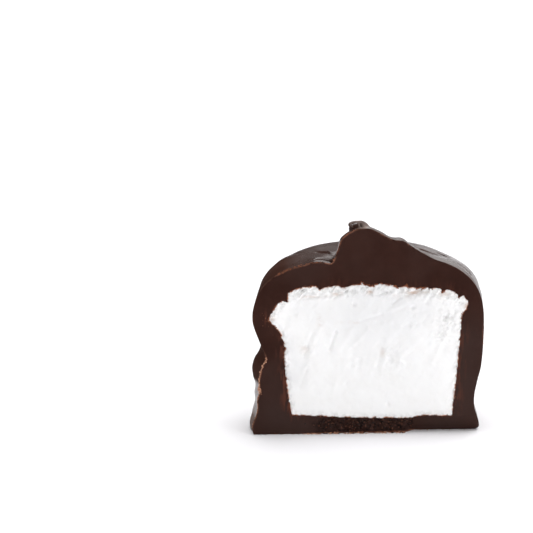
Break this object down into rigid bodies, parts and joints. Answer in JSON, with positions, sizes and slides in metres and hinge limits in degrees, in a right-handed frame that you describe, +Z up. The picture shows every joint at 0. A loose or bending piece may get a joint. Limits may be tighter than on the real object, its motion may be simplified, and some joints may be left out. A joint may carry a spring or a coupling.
{
  "type": "halved chocolate-covered marshmallow",
  "caption": "Half of a chocolate-covered marshmallow sweet, cut open: thick dark chocolate coating with a piped swirl on top and a white marshmallow block showing in the flat cut face.",
  "frame": {"origin": "middle of the bounding box's underside, on the surface that the sweet rests on", "axes": "+X along the cut face, to the right as it is looked at; -Y out of the cut face; +Z up"},
  "size_m": [0.0334, 0.0172, 0.0301],
  "materials": {
    "chocolate": "dark chocolate, glossy where it set freely and satin where it was cut",
    "marshmallow": "white marshmallow, matte and slightly fibrous"
  },
  "bodies": {
    "root": {"chocolate_coating": "chocolate", "marshmallow": "marshmallow"}
  },
  "joints": []
}
